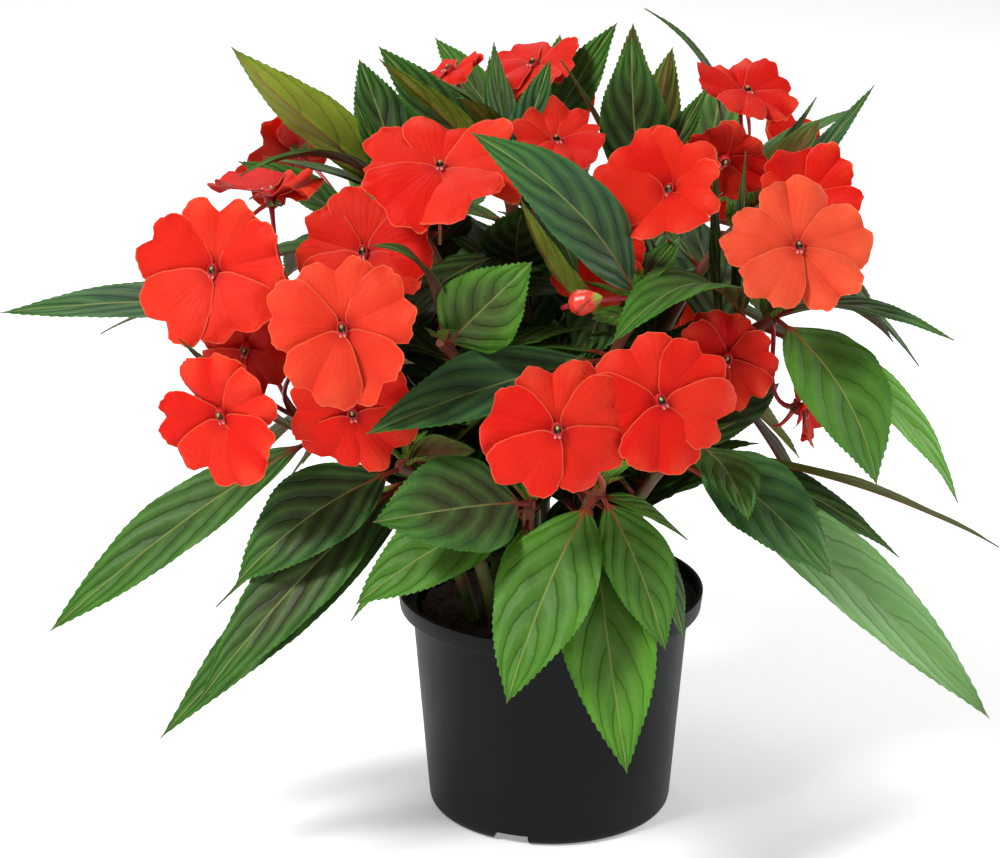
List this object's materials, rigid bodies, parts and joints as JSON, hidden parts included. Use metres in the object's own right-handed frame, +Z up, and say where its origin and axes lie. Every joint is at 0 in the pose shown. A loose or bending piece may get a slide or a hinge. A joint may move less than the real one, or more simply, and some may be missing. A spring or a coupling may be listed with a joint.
{
  "type": "potted new guinea impatiens",
  "caption": "Flowering New Guinea impatiens with toothed lance-shaped leaves and orange-red blooms, growing in soil in a black plastic nursery pot.",
  "frame": {"origin": "middle of the flat base of the pot, on the surface that it stands on", "axes": "+Z up, +X to the right as the picture sees the plant (its widest way), +Y to the back of the plant"},
  "size_m": [0.4113, 0.3107, 0.3393],
  "materials": {
    "pot": "satin",
    "soil": "matte",
    "leaf": "satin",
    "flower": "satin",
    "bud": "satin"
  },
  "bodies": {
    "root": {"bud_01": "bud", "flower_01": "flower", "flower_02": "flower", "flower_03": "flower", "flower_04": "flower", "flower_05": "flower", "flower_06": "flower", "flower_07": "flower", "flower_08": "flower", "flower_09": "flower", "flower_10": "flower", "flower_11": "flower", "flower_12": "flower", "flower_13": "flower", "flower_14": "flower", "flower_15": "flower", "flower_16": "flower", "flower_17": "flower", "flower_18": "flower", "flower_19": "flower", "flower_20": "flower", "flower_21": "flower", "flower_22": "flower", "flower_23": "flower", "flower_24": "flower", "flower_25": "flower", "flower_26": "flower", "flower_27": "flower", "leafy_stem_back_left": "leaf", "leafy_stem_back_right": "leaf", "leafy_stem_back_top": "leaf", "leafy_stem_front": "leaf", "leafy_stem_front_left": "leaf", "leafy_stem_high_left": "leaf", "leafy_stem_high_right": "leaf", "leafy_stem_left": "leaf", "leafy_stem_left_lower": "leaf", "leafy_stem_low_back": "leaf", "leafy_stem_low_back_left": "leaf", "leafy_stem_low_left": "leaf", "leafy_stem_low_right": "leaf", "leafy_stem_middle_left": "leaf", "leafy_stem_middle_right": "leaf", "leafy_stem_right": "leaf", "leafy_stem_top": "leaf", "leafy_stem_top_left": "leaf", "pot": "pot", "soil": "soil"}
  },
  "joints": []
}
